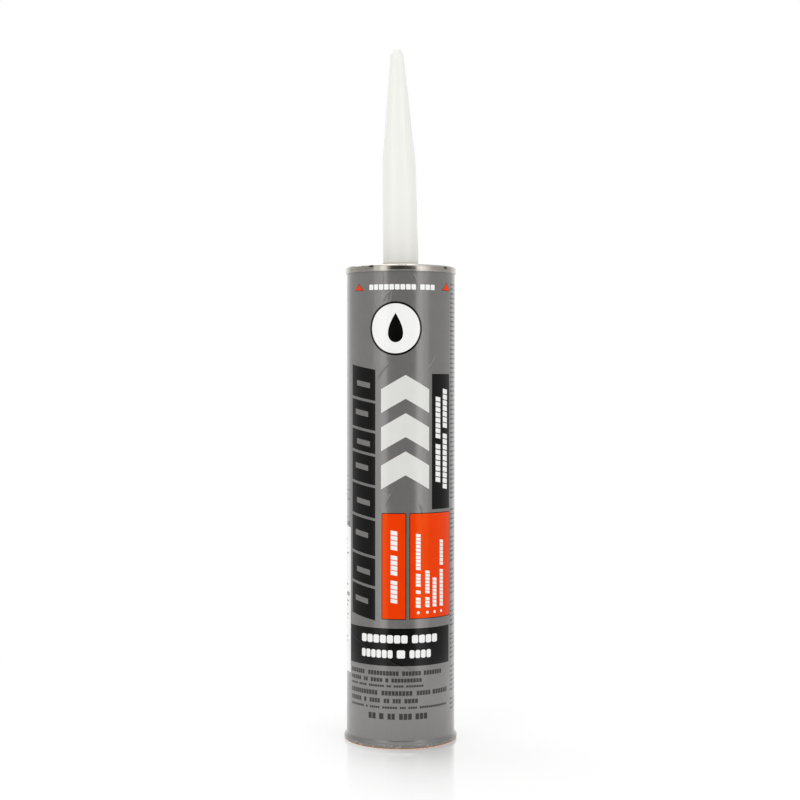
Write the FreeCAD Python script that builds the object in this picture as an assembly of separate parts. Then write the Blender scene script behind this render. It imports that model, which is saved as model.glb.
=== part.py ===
import FreeCAD, Part

import math
import os

# A caulk tube: a spiral-wound paperboard cartridge that a caulking gun squeezes.
# It stands on its open rear end. Lengths are millimetres, +Z runs up the tube's axis
# to the nozzle, -Y is the printed front, and the origin is the centre of the open
# rear end, in the plane that the tube stands on.
#
# Seven pieces come apart on a bench: the paperboard tube, the printed label glued
# round it, the rolled tinplate end, the moulded nozzle held under that end, the foil
# seal across the nozzle's inlet, the sealant, and the plunger that pushes it out.
# A bend or a rounded edge is one flat across the corner; its ease is the flat's reach.

# Paperboard tube
rim_top = 215.9  # height of the tinplate rim, where the gun's front plate bears
bore_radius = 23.35
board_wall = 1.25
board_below_rim = 0.55  # how far the board's top edge stays under the rim
flare_out = 1.1  # how far the rear lip is rolled outwards
flare_height = 3.1
lip_height = 1.6
lip_foot_ease = 0.3
mouth_flare = 1.0  # how far the bore opens at the rear, to let the plunger in
mouth_depth = 3.2

# Printed label
label_thickness = 0.14
label_foot = 0.55  # bare board left under the label at the rear lip
label_below_board = 1.0  # the label stops short of the board's top edge
lap_width = 6.0  # overlap of the label's two edges, at the back

# Rolled tinplate end
tin_thickness = 0.25
tin_clearance = 0.1  # tin to board, inside and outside
rim_height = 3.1
rim_stands_out = 0.56  # rim beyond the label
rim_ease = 0.4
countersink = 4.2  # panel under the rim
boss_foot_radius = 16.2
boss_radius = 14.0
boss_rise = 2.6
hole_clearance = 0.06  # tin to nozzle neck

# Moulded nozzle
nozzle_above_rim = 100.0
nozzle_lean = 1.1  # degrees, towards -X
flange_radius = 13.0
flange_thickness = 1.3
neck_radius = 7.0
neck_above_rim = 1.65
skirt_radius = 8.36
skirt_ease = 0.3
shoulder_radius = 7.72
shoulder_above_rim = 48.0
tip_radius = 3.1
tip_chamfer_height = 2.6
tip_flat_radius = 1.7
spout_wall = 2.0  # at the shoulder, above which the bore tapers
tip_wall = 1.4
tip_closure = 2.8

# Foil seal
seal_radius = 9.0
seal_thickness = 0.06

# Sealant
fill_height = 173.4  # holds 10 US fluid ounces, about 296 ml
paste_clearance = 0.05

# Plunger
plunger_length = 25.0
plunger_wall = 1.5
plunger_clearance = 0.06
wiper_depth = 0.5  # how far the two wiping rings stand out from the skirt
wiper_height = 2.2
dish_depth = 1.2
dish_radius = 13.5
dish_slope = 2.4
crown_ease = 1.1
gusset_count = 8
gusset_thickness = 1.0
gusset_reach = 4.6

# Levels and radii that the pieces share
board_radius = bore_radius + board_wall
label_radius = board_radius + label_thickness
board_top = rim_top - board_below_rim
rim_radius = label_radius + rim_stands_out
panel_top = rim_top - countersink
boss_top = panel_top + boss_rise
flange_top = boss_top - tin_thickness
inlet_level = flange_top - flange_thickness
neck_pivot = boss_top - tin_thickness / 2
paste_radius = bore_radius - paste_clearance
paste_top = panel_top - tin_thickness - paste_clearance
crown_level = paste_top - fill_height
plunger_foot = crown_level - plunger_length
skirt_side = bore_radius - plunger_clearance - wiper_depth

up = FreeCAD.Vector(0, 0, 1)
centre = FreeCAD.Vector(0, 0, 0)


def eased(corners):
    """The points of a path through corners of (radius, height, ease)."""
    points = [FreeCAD.Vector(r, 0, z) for r, z, _ in corners]
    path = []
    for i, (_, _, ease) in enumerate(corners):
        if not ease:
            path.append(points[i])
            continue
        to_last = (points[i - 1] - points[i]).normalize()
        to_next = (points[i + 1] - points[i]).normalize()
        path += [points[i] + to_last * ease, points[i] + to_next * ease]
    return path


def offset(path, distance):
    """A path moved sideways: to the left of its run, in a section seen with +X right."""
    runs = [(b - a).normalize() for a, b in zip(path, path[1:])]
    sides = [FreeCAD.Vector(-run.z, 0, run.x) for run in runs]
    moved = []
    for i, here in enumerate(path):
        before = sides[max(i - 1, 0)]
        after = sides[min(i, len(sides) - 1)]
        moved.append(here + (before + after) * (distance / (1 + before.dot(after))))
    return moved


def turned(path, angle=360.0):
    """The solid made by turning a closed section about the tube's axis."""
    section = Part.Face(Part.makePolygon(path + path[:1]))
    return section.revolve(centre, up, angle)


def sheet_section(path, thickness):
    """The section of a sheet of even thickness that follows a path on its right."""
    return path + offset(path, thickness)[::-1]


def lip_path(top, foot):
    """The tube's outer face, down its side and out over the rolled rear lip."""
    lip_radius = board_radius + flare_out
    return eased(
        [
            (board_radius, top, 0),
            (board_radius, flare_height, 0),
            (lip_radius, lip_height, 0),
            (lip_radius, foot, 0),
        ]
    )


def make_cartridge_tube():
    """The spiral-wound board, with its rear lip rolled outwards and its mouth eased."""
    foot = [
        (board_radius + flare_out, 0, lip_foot_ease),
        (bore_radius + mouth_flare, 0, 0),
        (bore_radius, mouth_depth, 0),
        (bore_radius, board_top, 0),
    ]
    corners = [(p.x, p.z, 0) for p in lip_path(board_top, 0)[:-1]]
    return turned(eased(corners + foot))


def make_printed_label():
    """The printed sheet round the board, with one edge lapped over the other behind."""
    path = lip_path(board_top - label_below_board, label_foot)
    wrap = turned(sheet_section(path, label_thickness))
    lap_angle = math.degrees(lap_width / label_radius)
    over = offset(path, label_thickness)
    lap = turned(sheet_section(over, label_thickness), lap_angle)
    lap.rotate(centre, up, 90 - lap_angle / 2)
    return wrap.fuse(lap).removeSplitter()


def make_metal_end():
    """The tinplate end: hem, rim rolled over the board, sunk panel and holed boss."""
    inner_wall = bore_radius - tin_clearance - tin_thickness
    path = eased(
        [
            (label_radius + tin_clearance, rim_top - rim_height, 0),
            (rim_radius, rim_top - rim_height, 0),
            (rim_radius, rim_top, rim_ease),
            (inner_wall, rim_top, rim_ease),
            (inner_wall, panel_top, 0),
            (boss_foot_radius, panel_top, 0),
            (boss_radius, boss_top, 0),
            (neck_radius + hole_clearance, boss_top, 0),
        ]
    )
    return turned(sheet_section(path, tin_thickness))


def lean(shape):
    """Tips a piece of the spout sideways about the middle of the tinplate's hole."""
    pivot = FreeCAD.Vector(0, 0, neck_pivot)
    shape.rotate(pivot, FreeCAD.Vector(0, 1, 0), -nozzle_lean)
    return shape


def make_nozzle():
    """The moulded nozzle: flange under the end, neck, skirt, long taper, closed tip."""
    neck_foot = flange_top - flange_thickness / 2
    neck_top = rim_top + neck_above_rim
    shoulder = rim_top + shoulder_above_rim
    tip = rim_top + nozzle_above_rim
    flange = Part.makeCylinder(flange_radius, flange_thickness)
    flange.translate(up * inlet_level)
    spout = turned(
        eased(
            [
                (0, neck_foot, 0),
                (neck_radius, neck_foot, 0),
                (neck_radius, neck_top, 0),
                (skirt_radius, neck_top, skirt_ease),
                (shoulder_radius, shoulder, 0),
                (tip_radius, tip - tip_chamfer_height, 0),
                (tip_flat_radius, tip, 0),
                (0, tip, 0),
            ]
        )
    )
    bore_foot = inlet_level - flange_thickness
    spout_bore = shoulder_radius - spout_wall
    bore = turned(
        eased(
            [
                (0, bore_foot, 0),
                (spout_bore, bore_foot, 0),
                (spout_bore, shoulder, 0),
                (tip_radius - tip_wall, tip - tip_closure, 0),
                (0, tip - tip_closure, 0),
            ]
        )
    )
    return flange.fuse(lean(spout)).removeSplitter().cut(lean(bore))


def make_breakaway_seal():
    """The foil disc across the nozzle's inlet, stuck to the flange's underside."""
    seal = Part.makeCylinder(seal_radius, seal_thickness)
    seal.translate(up * (inlet_level - seal_thickness))
    return seal


def crown_path():
    """The plunger's face, from the axis out to its skirt and down to its foot."""
    dish_level = crown_level - dish_depth
    return eased(
        [
            (0, dish_level, 0),
            (dish_radius, dish_level, 0),
            (dish_radius + dish_slope, crown_level, 0),
            (skirt_side, crown_level, crown_ease),
            (skirt_side, plunger_foot, 0),
        ]
    )


def make_sealant():
    """The paste, from the plunger's crown up to the end's panel."""
    under = offset(crown_path(), paste_clearance)[:3]
    side = eased(
        [
            (paste_radius, crown_level + paste_clearance, 0),
            (paste_radius, paste_top, 0),
            (0, paste_top, 0),
        ]
    )
    return turned(under + side)


def wiper(height):
    """One of the plunger's two wiping rings, with its middle at a given height."""
    root = skirt_side - plunger_wall / 2
    half = wiper_height / 2
    return turned(
        eased(
            [
                (root, height - half, 0),
                (skirt_side, height - half, 0),
                (skirt_side + wiper_depth, height, 0),
                (skirt_side, height + half, 0),
                (root, height + half, 0),
            ]
        )
    )


def gusset(angle):
    """One of the webs that stiffen the corner inside the plunger's cup."""
    wall = skirt_side - plunger_wall / 2
    ceiling = crown_level - plunger_wall / 2
    corners = [
        FreeCAD.Vector(wall, -gusset_thickness / 2, ceiling),
        FreeCAD.Vector(wall - gusset_reach, -gusset_thickness / 2, ceiling),
        FreeCAD.Vector(wall, -gusset_thickness / 2, ceiling - gusset_reach),
    ]
    web = Part.Face(Part.makePolygon(corners + corners[:1]))
    solid = web.extrude(FreeCAD.Vector(0, gusset_thickness, 0))
    solid.rotate(centre, up, angle)
    return solid


def make_plunger():
    """The moulded plunger: a thin cup, open to the rear, with two wiping rings."""
    cup = turned(sheet_section(crown_path(), -plunger_wall))
    rings = [
        wiper(crown_level - crown_ease - wiper_height / 2),
        wiper(plunger_foot + wiper_height / 2),
    ]
    step = 360.0 / gusset_count
    webs = [gusset(step * (i + 0.5)) for i in range(gusset_count)]
    return cup.multiFuse(rings + webs).removeSplitter()


def main():
    """Writes one STEP file for each piece."""
    makers = {
        "cartridge_tube": make_cartridge_tube,
        "printed_label": make_printed_label,
        "metal_end": make_metal_end,
        "nozzle": make_nozzle,
        "breakaway_seal": make_breakaway_seal,
        "sealant": make_sealant,
        "plunger": make_plunger,
    }
    os.makedirs("parts", exist_ok=True)
    for name, make in makers.items():
        solid = make()
        solid.exportStep(f"parts/{name}.step")
        print(f"{name}: {solid.Volume / 1000:.2f} ml, {len(solid.Solids)} solid")


main()
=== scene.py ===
import logging
import math
from contextlib import contextmanager
from dataclasses import dataclass
from enum import Enum
from typing import Callable, Iterable, Iterator, Sequence

import bmesh
import bpy
from mathutils import Matrix, Vector
from mathutils.geometry import delaunay_2d_cdt


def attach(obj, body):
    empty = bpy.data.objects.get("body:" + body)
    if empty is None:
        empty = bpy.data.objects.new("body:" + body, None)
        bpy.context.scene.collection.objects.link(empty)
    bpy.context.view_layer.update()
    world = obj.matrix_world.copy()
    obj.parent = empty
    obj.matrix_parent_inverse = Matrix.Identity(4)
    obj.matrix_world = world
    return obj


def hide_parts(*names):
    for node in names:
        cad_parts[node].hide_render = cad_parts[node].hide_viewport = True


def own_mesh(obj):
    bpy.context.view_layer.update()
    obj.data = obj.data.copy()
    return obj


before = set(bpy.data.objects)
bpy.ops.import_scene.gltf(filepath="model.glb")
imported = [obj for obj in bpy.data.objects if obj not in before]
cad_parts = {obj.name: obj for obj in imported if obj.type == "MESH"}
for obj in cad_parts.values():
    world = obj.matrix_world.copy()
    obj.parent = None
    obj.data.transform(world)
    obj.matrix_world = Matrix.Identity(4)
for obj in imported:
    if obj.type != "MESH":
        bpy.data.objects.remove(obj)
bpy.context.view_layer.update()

# Sizes in the classes are millimetres on the tube; Blender's meshes are metres.
# The printed front faces -Y, and angles round the tube run from there towards +X.
MM = 0.001

# Sizes in millimetres that several pieces or finishes share
BORE = 23.35
LABEL_RADIUS = 24.74
RIM_RADIUS = 25.3
CROWN = 38.0  # height of the plunger's crown, where the filling begins
DISH_DEPTH, DISH_RADIUS, DISH_SLOPE = 1.2, 13.5, 2.4  # the crown's sunk middle
WINDING_PITCH = 74.0  # how far the board's spiral climbs in one turn

Socket = bpy.types.NodeSocket
Value = Socket | float
Colour = tuple[float, float, float]
Corner = tuple[float, float, float]
Flat = tuple[float, float]

WHITE: Colour = (1.0, 1.0, 1.0)

log = logging.getLogger("caulk_tube")


class Body(Enum):
    """The two bodies that move apart: the filled cartridge and its plunger."""

    CARTRIDGE = "cartridge"
    PLUNGER = "plunger"


class Ink(Enum):
    """The inks on the label, in the order that their finishes stand on its mesh."""

    SILVER = 0
    BLACK = 1
    ORANGE = 2
    PALE = 3
    WHITE = 4
    SMALL_PRINT = 5
    BARE_EDGE = 6


# Node trees of the finishes


class Board:
    """A node tree, with short calls for the nodes that finishes and shapes share."""

    def __init__(self, tree: bpy.types.NodeTree) -> None:
        """Takes a tree and clears it."""
        self.tree = tree
        tree.nodes.clear()

    def add(self, kind: str, inputs: dict | None = None, **settings: object) -> bpy.types.Node:
        """Adds a node.

        Args:
            kind: the node's type name.
            inputs: socket name or number to a value, or to a socket that drives it.
            settings: the node's own properties.

        Returns:
            The node.
        """
        node = self.tree.nodes.new(kind)
        for key, value in settings.items():
            setattr(node, key, value)
        for key, value in (inputs or {}).items():
            if isinstance(value, Socket):
                self.tree.links.new(value, node.inputs[key])
            else:
                node.inputs[key].default_value = value
        return node

    def end(self, result: Socket, kind: str) -> None:
        """Hands the tree's result to an output node of this kind."""
        self.tree.links.new(result, self.add(kind).inputs[0])

    def place(self) -> Socket:
        """The point on the surface, in Object coordinates, which are in metres."""
        return self.add("ShaderNodeTexCoord").outputs["Object"]

    def point(self, x: Value, y: Value, z: Value) -> Socket:
        """A vector made of three parts."""
        return self.add("ShaderNodeCombineXYZ", {0: x, 1: y, 2: z}).outputs[0]

    def parts(self, vector: Socket) -> tuple[Socket, Socket, Socket]:
        """A vector's three parts."""
        node = self.add("ShaderNodeSeparateXYZ", {0: vector})
        return node.outputs[0], node.outputs[1], node.outputs[2]

    def length(self, vector: Socket) -> Socket:
        """A vector's length."""
        return self.add("ShaderNodeVectorMath", {0: vector}, operation="LENGTH").outputs["Value"]

    def math(self, operation: str, *values: Value) -> Socket:
        """One step of arithmetic on up to three values."""
        return self.add("ShaderNodeMath", dict(enumerate(values)), operation=operation).outputs[0]

    def plus(self, first: Value, second: Value) -> Socket:
        """The sum of two values."""
        return self.math("ADD", first, second)

    def minus(self, first: Value, second: Value) -> Socket:
        """The first value less the second."""
        return self.math("SUBTRACT", first, second)

    def times(self, first: Value, second: Value) -> Socket:
        """The product of two values."""
        return self.math("MULTIPLY", first, second)

    def over(self, first: Value, second: Value) -> Socket:
        """The first value divided by the second."""
        return self.math("DIVIDE", first, second)

    def times_plus(self, first: Value, second: Value, third: Value) -> Socket:
        """The product of two values, and a third added to it."""
        return self.math("MULTIPLY_ADD", first, second, third)

    def most(self, first: Value, second: Value) -> Socket:
        """The larger of two values."""
        return self.math("MAXIMUM", first, second)

    def size(self, value: Socket) -> Socket:
        """A value without its sign."""
        return self.math("ABSOLUTE", value)

    def average(self, first: Socket, second: Socket) -> Socket:
        """The middle of two values."""
        return self.times_plus(first, 0.5, self.times(second, 0.5))

    def off_middle(self, value: Socket) -> Socket:
        """How far a value is from halfway between two whole numbers."""
        return self.size(self.minus(self.math("FRACT", value), 0.5))

    def noise(self, vector: Socket, scale: float = 1.0, detail: float = 2.0) -> Socket:
        """Smooth noise from 0 to 1, with about `scale` lumps in a metre."""
        inputs = {"Vector": vector, "Scale": scale, "Detail": detail}
        return self.add("ShaderNodeTexNoise", inputs).outputs[0]

    def stretched(self, vector: Socket, scale: Colour) -> Socket:
        """A point scaled differently along each axis, for grain with a direction."""
        return self.add("ShaderNodeMapping", {"Vector": vector, "Scale": scale}).outputs[0]

    def remap(
        self, value: Socket, low: float, high: float, start: float = 0.0, end: float = 1.0
    ) -> Socket:
        """A value eased from start to end as it goes from low to high."""
        inputs = {0: value, 1: low, 2: high, 3: start, 4: end}
        return self.add("ShaderNodeMapRange", inputs, interpolation_type="SMOOTHSTEP").outputs[0]

    def mix(self, share: Socket, first: Socket | Colour, second: Socket | Colour) -> Socket:
        """A colour that goes from the first to the second as the share goes from 0 to 1.

        Args:
            share: how far the colour goes from the first to the second.
            first: the colour at 0, or a socket that gives it.
            second: the colour at 1, or a socket that gives it.

        Returns:
            The mixed colour.
        """
        colours = [c if isinstance(c, Socket) else (*c, 1.0) for c in (first, second)]
        inputs = {0: share, 6: colours[0], 7: colours[1]}
        return self.add("ShaderNodeMix", inputs, data_type="RGBA").outputs[2]

    def blend(self, share: Socket, first: bpy.types.Node, second: bpy.types.Node) -> bpy.types.Node:
        """A shader that goes from the first to the second as the share goes from 0 to 1."""
        inputs = {0: share, 1: first.outputs[0], 2: second.outputs[0]}
        return self.add("ShaderNodeMixShader", inputs)

    def bump(self, height: Socket, depth: float, under: Socket | None = None) -> Socket:
        """A normal bent by a height from 0 to 1 that stands `depth` metres tall.

        Args:
            height: the relief, from 0 to 1.
            depth: how tall the relief stands, in metres.
            under: the normal that it bends, or None for the surface's own.

        Returns:
            The bent normal.
        """
        inputs = {"Height": height, "Distance": depth, "Strength": 1.0}
        if under is not None:
            inputs["Normal"] = under
        return self.add("ShaderNodeBump", inputs).outputs[0]

    def radius(self, place: Socket) -> Socket:
        """The distance from the tube's axis."""
        x, y, _ = self.parts(place)
        return self.math("SQRT", self.times_plus(x, x, self.times(y, y)))

    def angle(self, place: Socket) -> Socket:
        """The angle round the tube, in turns from -0.5 to 0.5, nought at the front."""
        x, y, _ = self.parts(place)
        return self.over(self.math("ARCTAN2", x, self.times(y, -1.0)), math.tau)

    def off_seam(self, place: Socket, height: Socket) -> Socket:
        """How far a point is from the wound board's spiral seam, in turns."""
        return self.off_middle(self.plus(self.angle(place), self.over(height, WINDING_PITCH * MM)))

    def surface(self, **inputs: object) -> None:
        """Ends the tree in a Principled shader with these inputs."""
        named = {key.replace("_", " "): value for key, value in inputs.items()}
        shader = self.add("ShaderNodeBsdfPrincipled", named)
        self.end(shader.outputs[0], "ShaderNodeOutputMaterial")


@dataclass(frozen=True)
class Finish:
    """A finish. Each kind lays its own nodes out."""

    name: str

    def material(self) -> bpy.types.Material:
        """Makes the finish's material.

        Returns:
            The material.
        """
        material = bpy.data.materials.new(self.name)
        material.use_nodes = True
        board = Board(material.node_tree)
        self.lay(board, board.place())
        return material

    def lay(self, board: Board, place: Socket) -> None:
        """Lays the nodes out.

        Args:
            board: the material's empty tree.
            place: the point on the surface.
        """
        raise NotImplementedError


@dataclass(frozen=True)
class Crease:
    """A short, bent and soft crease in the label's film; its tilt is from upright."""

    around: float
    height: float
    length: float
    tilt: float
    bend: float
    width: float = 0.6

    def line(self, board: Board, around: Socket, height: Socket) -> Socket:
        """How near a point is to the crease.

        Args:
            board: the tree to build in.
            around: the point's distance round the tube from the front, in metres.
            height: the point's height, in metres.

        Returns:
            A value that is 1 on the crease and 0 away from it.
        """
        rise, run = math.cos(math.radians(self.tilt)), math.sin(math.radians(self.tilt))
        s = board.minus(around, self.around * MM)
        z = board.minus(height, self.height * MM)
        along = board.times_plus(s, run, board.times(z, rise))
        off = board.times_plus(s, rise, board.times(z, -run))
        bow = board.times(board.times(along, along), self.bend / MM)
        side = board.size(board.plus(off, bow))
        ends = board.remap(board.size(along), self.length / 2 * MM, self.length / 6 * MM)
        return board.times(board.remap(side, self.width * MM, 0.0), ends)


CREASES = (
    Crease(6.9, 208.5, 8.0, -18.0, 0.05),
    Crease(-6.4, 202.0, 9.0, 38.0, -0.04),
    Crease(-4.8, 197.0, 7.0, 8.0, 0.03),
    Crease(15.2, 172.0, 11.0, 36.0, 0.05),
    Crease(-8.6, 168.0, 12.0, 34.0, -0.03),
    Crease(-5.8, 111.0, 9.0, 26.0, -0.04),
    Crease(9.6, 106.0, 8.0, -12.0, 0.04),
    Crease(-61.0, 158.0, 14.0, 30.0, 0.03),
    Crease(64.0, 96.0, 12.0, -35.0, -0.03),
)


@dataclass(frozen=True)
class PrintedInk(Finish):
    """Ink under the label's glossy film, with the wound board showing faintly through."""

    colour: Colour
    metallic: float = 0.0
    roughness: float = 0.18
    grain: float = 0.04
    film: float = 0.0
    sheen: Colour = WHITE
    gloss: float = 0.5
    rubbed_colour: Colour = (0.56, 0.50, 0.42)

    def lay(self, board: Board, place: Socket) -> None:
        """Lays out mottled ink, a rubbed lip, and the film's waves and creases.

        Args:
            board: the material's empty tree.
            place: the point on the surface.
        """
        _, _, height = board.parts(place)
        fleck = board.noise(place, scale=2600.0, detail=1.0)
        cloud = board.noise(place, scale=160.0)
        low = tuple(c * (1 - self.grain) for c in self.colour)
        high = tuple(c * (1 + self.grain) for c in self.colour)
        ink = board.mix(board.remap(board.average(cloud, fleck), 0.3, 0.7), low, high)
        rubbed = self.rubbed(board, place, height)
        rough = board.remap(cloud, 0.3, 0.7, self.roughness * 0.9, self.roughness * 1.12)
        board.surface(
            Base_Color=board.mix(rubbed, ink, self.rubbed_colour),
            Metallic=self.metallic,
            Roughness=board.times_plus(rubbed, 0.4, rough),
            Specular_IOR_Level=self.gloss,
            Specular_Tint=(*self.sheen, 1.0),
            Coat_Weight=self.film,
            Coat_Roughness=0.12,
            Normal=self.skin(board, place, height),
        )

    def rubbed(self, board: Board, place: Socket, height: Socket) -> Socket:
        """Where the ink is rubbed off: in specks along the rear lip.

        Args:
            board: the tree to build in.
            place: the point on the surface.
            height: the point's height, in metres.

        Returns:
            A value that is 1 where no ink is left and 0 where it is whole.
        """
        near_lip = board.remap(height, low=0.0020, high=0.0007)
        speck = board.noise(board.stretched(place, (1, 1, 1.9)), scale=560.0, detail=4.0)
        return board.times(near_lip, board.remap(speck, 0.57, 0.64))

    def skin(self, board: Board, place: Socket, height: Socket) -> Socket:
        """The film's normal: long waves, the board's spiral seam, creases, orange peel.

        Args:
            board: the tree to build in.
            place: the point on the surface.
            height: the point's height, in metres.

        Returns:
            The bent normal.
        """
        wave = board.noise(board.stretched(place, (34, 34, 15)))
        dent = board.noise(board.stretched(place, (90, 90, 55)), detail=1.0)
        waved = board.bump(dent, depth=0.00007, under=board.bump(wave, depth=0.00028))
        seam = board.remap(board.off_seam(place, height), low=0.012, high=0.0)
        seamed = board.bump(seam, depth=0.000022, under=waved)
        creased = board.bump(self.creases(board, place, height), depth=0.00004, under=seamed)
        peel = board.noise(place, scale=1500.0)
        return board.bump(peel, depth=0.0000045, under=creased)

    def creases(self, board: Board, place: Socket, height: Socket) -> Socket:
        """Faint folds here and there, and the sharper creases of the list.

        Args:
            board: the tree to build in.
            place: the point on the surface.
            height: the point's height, in metres.

        Returns:
            The creases' relief, which is 0 on smooth film.
        """
        fold = board.noise(board.stretched(place, (60, 60, 38)), detail=1.0)
        off_fold = board.size(board.minus(fold, 0.5))
        some = board.remap(board.noise(place, scale=26.0, detail=1.0), 0.54, 0.62)
        crease = board.times(board.remap(off_fold, low=0.014, high=0.0), some)
        around = board.times(board.angle(place), math.tau * LABEL_RADIUS * MM)
        sharpness = 2.6
        for mark in CREASES:
            crease = board.most(crease, board.times(mark.line(board, around, height), sharpness))
        return crease


@dataclass(frozen=True)
class Nick:
    """A small dent in the rim, painted dark as painted shade: its angle in degrees, its height and
    its reach.
    """

    angle: float
    height: float
    reach: float


NICKS = (Nick(-31.8, 215.1, 1.5), Nick(52.6, 214.8, 1.4))


@dataclass(frozen=True)
class RolledTin(Finish):
    """Bright tinplate, drawn and rolled, so that its finest lines run round it."""

    name: str = "rolled_tinplate"
    colour: Colour = (0.64, 0.60, 0.545)
    # The dark of small stains, and also the painted shade in the nicks.
    stain_and_dent_shade: Colour = (0.09, 0.08, 0.07)
    roughness: float = 0.19

    def lay(self, board: Board, place: Socket) -> None:
        """Lays out rings from rolling, dulled patches, a few dark stains and painted shade in the
        nicks.

        Args:
            board: the material's empty tree.
            place: the point on the surface.
        """
        _, _, height = board.parts(place)
        ring = board.point(board.radius(place), 0.0, height)
        rings = board.noise(ring, scale=5200.0, detail=3.0)
        patch = board.noise(place, scale=130.0, detail=3.0)
        dull = tuple(c * 0.78 for c in self.colour)
        bright = tuple(min(c * 1.12, 1.0) for c in self.colour)
        metal = board.mix(board.remap(board.average(rings, patch), 0.36, 0.62), dull, bright)
        board.surface(
            Base_Color=board.mix(self.marks(board, place), metal, self.stain_and_dent_shade),
            Metallic=1.0,
            Roughness=board.remap(patch, 0.3, 0.7, self.roughness * 0.8, self.roughness * 1.5),
            Normal=board.bump(rings, depth=0.0000035, under=board.bump(patch, depth=0.00005)),
        )

    def marks(self, board: Board, place: Socket) -> Socket:
        """Where the tin is dark: painted shade in the nicks, and stains in small scattered spots.

        Args:
            board: the tree to build in.
            place: the point on the surface.

        Returns:
            A value that is 1 on a mark and 0 on clean tin.
        """
        mark = board.remap(board.noise(place, scale=420.0), 0.69, 0.74)
        ragged = board.noise(place, scale=1500.0, detail=3.0)
        # Each nick is painted dark, as painted shade in the dent.
        for nick in NICKS:
            turn = math.radians(nick.angle)
            side, depth = math.sin(turn) * RIM_RADIUS, -math.cos(turn) * RIM_RADIUS
            centre = Vector((side, depth, nick.height)) * MM
            off = board.add("ShaderNodeVectorMath", {0: place, 1: centre}, operation="SUBTRACT")
            away = board.length(board.stretched(off.outputs[0], (1.0, 1.0, 2.4)))
            away = board.times_plus(ragged, 0.9 * MM, away)
            edge = board.remap(away, (nick.reach + 0.45) * MM, (nick.reach + 0.1) * MM)
            mark = board.most(mark, edge)
        return mark


@dataclass(frozen=True)
class MouldedPlastic(Finish):
    """Undyed polyethylene: milky, a little see-through, with a soft sheen.

    It goes from one colour at the height `foot` to another at the height `clear`.
    """

    colour: Colour
    foot_colour: Colour
    foot: float
    clear: float
    roughness: float = 0.3
    glow: float = 0.35

    def lay(self, board: Board, place: Socket) -> None:
        """Lays out a colour that changes from the foot up, with faint flow lines and haze.

        Args:
            board: the material's empty tree.
            place: the point on the surface.
        """
        x, y, height = board.parts(place)
        radius = board.radius(place)
        spoke = board.point(board.over(x, radius), board.over(y, radius), board.times(height, 4.0))
        flow = board.noise(spoke, scale=3.4, detail=1.0)
        haze = board.noise(place, scale=90.0)
        level = board.times_plus(haze, 0.002, height)
        clear = board.remap(level, self.foot * MM, self.clear * MM)
        # On the nozzle the foot colour carries painted light: it is lighter there, against the
        # shade from the rim.
        height_tone = board.mix(clear, self.foot_colour, self.colour)
        shade = board.remap(flow, 0.2, 0.8, end=0.05)
        board.surface(
            Base_Color=board.mix(shade, height_tone, tuple(c * 0.6 for c in self.colour)),
            Roughness=board.remap(flow, 0.3, 0.7, self.roughness * 0.85, self.roughness * 1.25),
            Subsurface_Weight=self.glow,
            Subsurface_Radius=(1.0, 1.0, 0.95),
            Subsurface_Scale=0.0012,
            IOR=1.51,
            Normal=board.bump(flow, depth=0.00002, under=board.bump(haze, depth=0.00008)),
        )


@dataclass(frozen=True)
class KraftBoard(Finish):
    """Brown paperboard, wound in a spiral, with its fibres and its plies' edges."""

    name: str = "kraft_board"
    colour: Colour = (0.46, 0.215, 0.085)
    dark: Colour = (0.24, 0.105, 0.045)
    ply: float = 0.31

    def lay(self, board: Board, place: Socket) -> None:
        """Lays out fibres, a helical seam, and rings where the board is cut.

        Args:
            board: the material's empty tree.
            place: the point on the surface.
        """
        _, _, height = board.parts(place)
        fibre = board.noise(place, scale=1900.0, detail=4.0)
        blotch = board.noise(place, scale=210.0, detail=3.0)
        shade = tuple(0.7 * c + 0.3 * d for c, d in zip(self.colour, self.dark))
        paper = board.mix(board.remap(board.average(fibre, blotch), 0.36, 0.64), shade, self.colour)
        seam = board.remap(board.off_seam(place, height), low=0.0045, high=0.002)
        depth = board.minus(board.radius(place), BORE * MM)
        glue = board.remap(board.off_middle(board.over(depth, self.ply * MM)), 0.42, 0.5)
        cut_end = board.remap(height, low=0.0006, high=0.0002)
        line = board.most(seam, board.times(glue, cut_end))
        relief = board.minus(fibre, board.times(line, 2.0))
        board.surface(
            Base_Color=board.mix(board.times(line, 0.7), paper, self.dark),
            Roughness=board.remap(fibre, 0.3, 0.7, 0.72, 0.9),
            Normal=board.bump(relief, depth=0.00002),
            Specular_IOR_Level=0.3,
        )


@dataclass(frozen=True)
class SealingFoil(Finish):
    """Thin aluminium foil, pressed on, with small wrinkles."""

    name: str = "sealing_foil"
    dull: Colour = (0.6, 0.6, 0.61)
    bright: Colour = (0.85, 0.85, 0.86)

    def lay(self, board: Board, place: Socket) -> None:
        """Lays out the wrinkles.

        Args:
            board: the material's empty tree.
            place: the point on the surface.
        """
        wrinkle = board.noise(place, scale=700.0, detail=4.0)
        board.surface(
            Base_Color=board.mix(wrinkle, self.dull, self.bright),
            Metallic=1.0,
            Roughness=0.32,
            Normal=board.bump(wrinkle, depth=0.00008),
        )


@dataclass(frozen=True)
class SealantPaste(Finish):
    """The filling: an opaque, pale paste with a wet sheen and the odd air bubble."""

    name: str = "sealant_paste"
    low: Colour = (0.60, 0.59, 0.55)
    high: Colour = (0.72, 0.71, 0.67)

    def lay(self, board: Board, place: Socket) -> None:
        """Lays out soft lumps and bubbles.

        Args:
            board: the material's empty tree.
            place: the point on the surface.
        """
        lump = board.noise(place, scale=110.0, detail=3.0)
        bubble = board.remap(board.noise(place, scale=900.0, detail=1.0), 0.72, 0.78)
        board.surface(
            Base_Color=board.mix(board.remap(lump, 0.3, 0.7), self.low, self.high),
            Roughness=0.35,
            Subsurface_Weight=0.1,
            Normal=board.bump(board.minus(lump, bubble), depth=0.0002),
        )


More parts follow.
